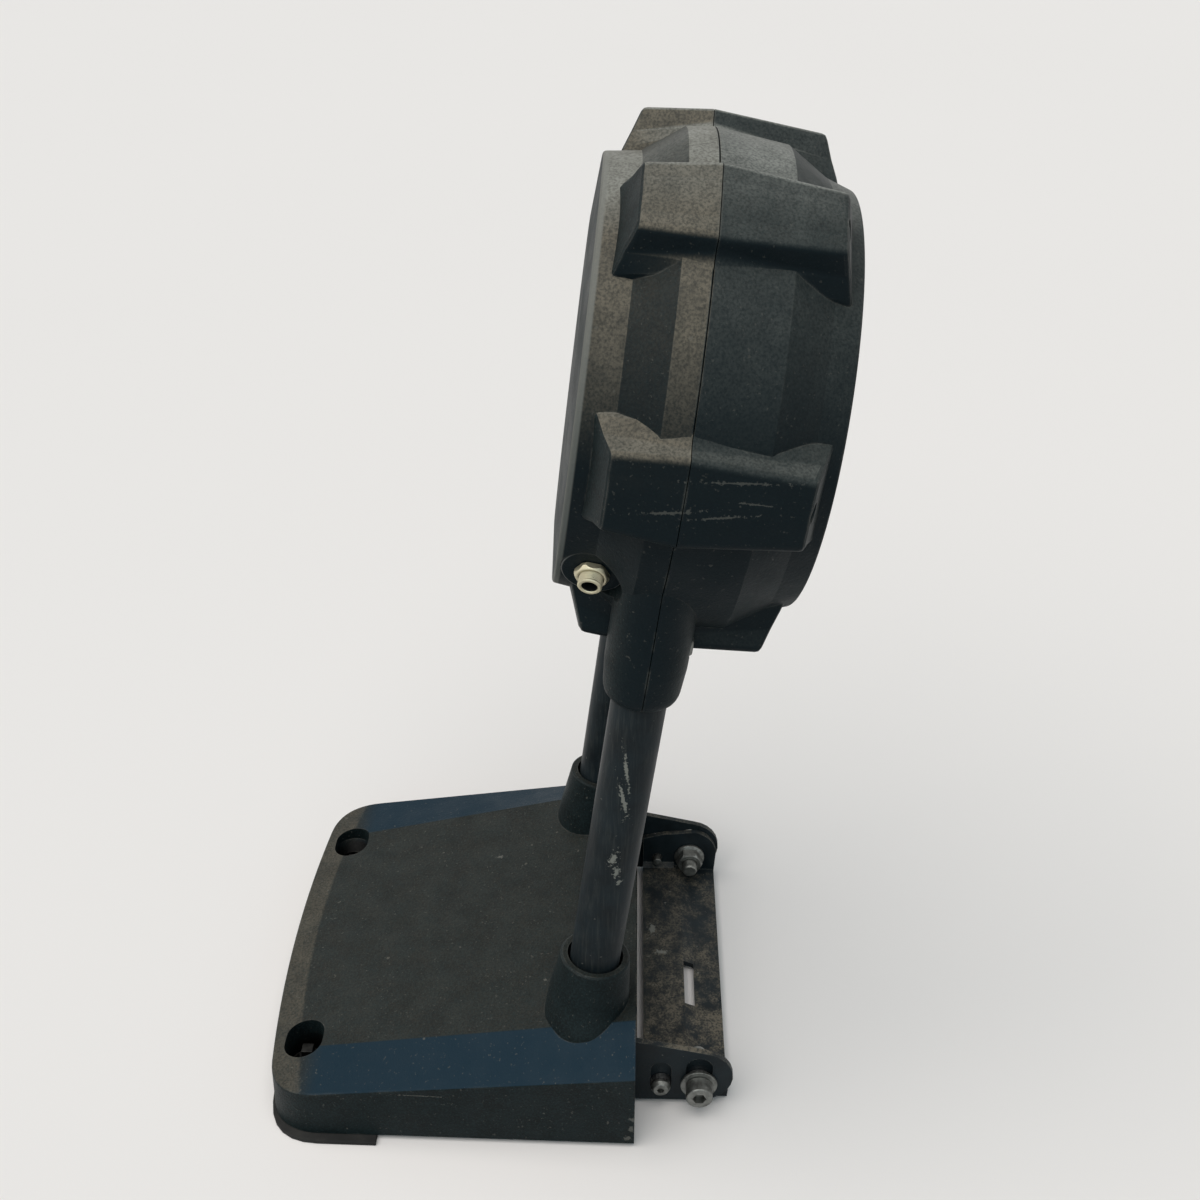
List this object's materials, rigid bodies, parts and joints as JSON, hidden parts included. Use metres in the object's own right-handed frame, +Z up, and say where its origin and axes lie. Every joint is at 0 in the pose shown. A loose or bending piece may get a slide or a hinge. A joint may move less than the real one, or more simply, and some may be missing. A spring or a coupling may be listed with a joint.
{
  "type": "electronic kick drum pad",
  "caption": "Round electronic kick drum pad on two leaning tubes over a wedge base cover, with a height adjustable pedal plate, anchor bolts and a jack",
  "frame": {"origin": "floor point under the middle of the object's length and width", "axes": "+Z up; +X across the pad to its far side; +Y to the audience, so the strike face looks to -Y"},
  "size_m": [0.2324, 0.2634, 0.4404],
  "materials": {
    "black_plastic": "fine moulded texture, satin black",
    "black_paint": "black powder coat, chipped on the corners",
    "nickel": "plated, warm",
    "zinc": "zinc plated, dull",
    "bare_steel": "bare, satin",
    "sensor_brass": "satin",
    "rubber": "matt black",
    "pad_fabric": "woven black cloth over a thin cushion",
    "foam": "open cell foam",
    "lead_wire": "thin insulated leads"
  },
  "bodies": {
    "stand": {"housing_audience_half": "black_plastic", "housing_drummer_half": "black_plastic", "strike_foam": "foam", "sensor_plate": "bare_steel", "sensor_foam": "foam", "sensor_disc": "sensor_brass", "jack_plate": "black_plastic", "jack_nut": "nickel", "jack_body": "nickel", "base_cover": "black_plastic", "base_plate": "black_paint", "foot_strip": "rubber", "housing_screw_1": "zinc", "housing_screw_2": "zinc", "housing_screw_3": "zinc", "housing_screw_4": "zinc", "housing_screw_5": "zinc", "housing_screw_6": "zinc", "sensor_lead_near": "lead_wire", "tube_clamp_screw_near": "zinc", "tube_near": "black_paint", "tube_plug_near": "bare_steel", "tube_base_bolt_near": "zinc", "rear_foot_near": "rubber", "cover_screw_rear_near": "zinc", "cover_screw_front_near": "zinc", "sensor_lead_far": "lead_wire", "tube_clamp_screw_far": "zinc", "tube_far": "black_paint", "tube_plug_far": "bare_steel", "tube_base_bolt_far": "zinc", "rear_foot_far": "rubber", "cover_screw_rear_far": "zinc", "cover_screw_front_far": "zinc"},
    "pedal_carriage": {"pedal_plate": "black_paint", "plate_bolt_near": "zinc", "bolt_washer_near": "zinc", "slot_bush_near": "bare_steel", "flange_nut_near": "zinc", "guide_screw_near": "zinc", "guide_collar_near": "bare_steel", "plate_bolt_far": "zinc", "bolt_washer_far": "zinc", "slot_bush_far": "bare_steel", "flange_nut_far": "zinc", "guide_screw_far": "zinc", "guide_collar_far": "bare_steel"},
    "strike_face": {"strike_pad": "pad_fabric"},
    "anchor_near": {"anchor_bolt_near": "zinc"},
    "anchor_far": {"anchor_bolt_far": "zinc"}
  },
  "joints": [
    {"name": "pedal_plate_height", "type": "slide", "parent": "stand", "child": "pedal_carriage", "axis": [0, 0, 1], "range_m": [0, 0.01]},
    {"name": "strike_travel", "type": "slide", "parent": "stand", "child": "strike_face", "axis": [0, 0.9922, 0.125], "range_m": [0, 0.002], "stiffness_N_per_m": 6000, "deforming": ["strike_foam"]},
    {"name": "anchor_near_travel", "type": "slide", "parent": "stand", "child": "anchor_near", "axis": [0, 0, 1], "range_m": [-0.0045, 0.009]},
    {"name": "anchor_far_travel", "type": "slide", "parent": "stand", "child": "anchor_far", "axis": [0, 0, 1], "range_m": [-0.0045, 0.009]}
  ]
}
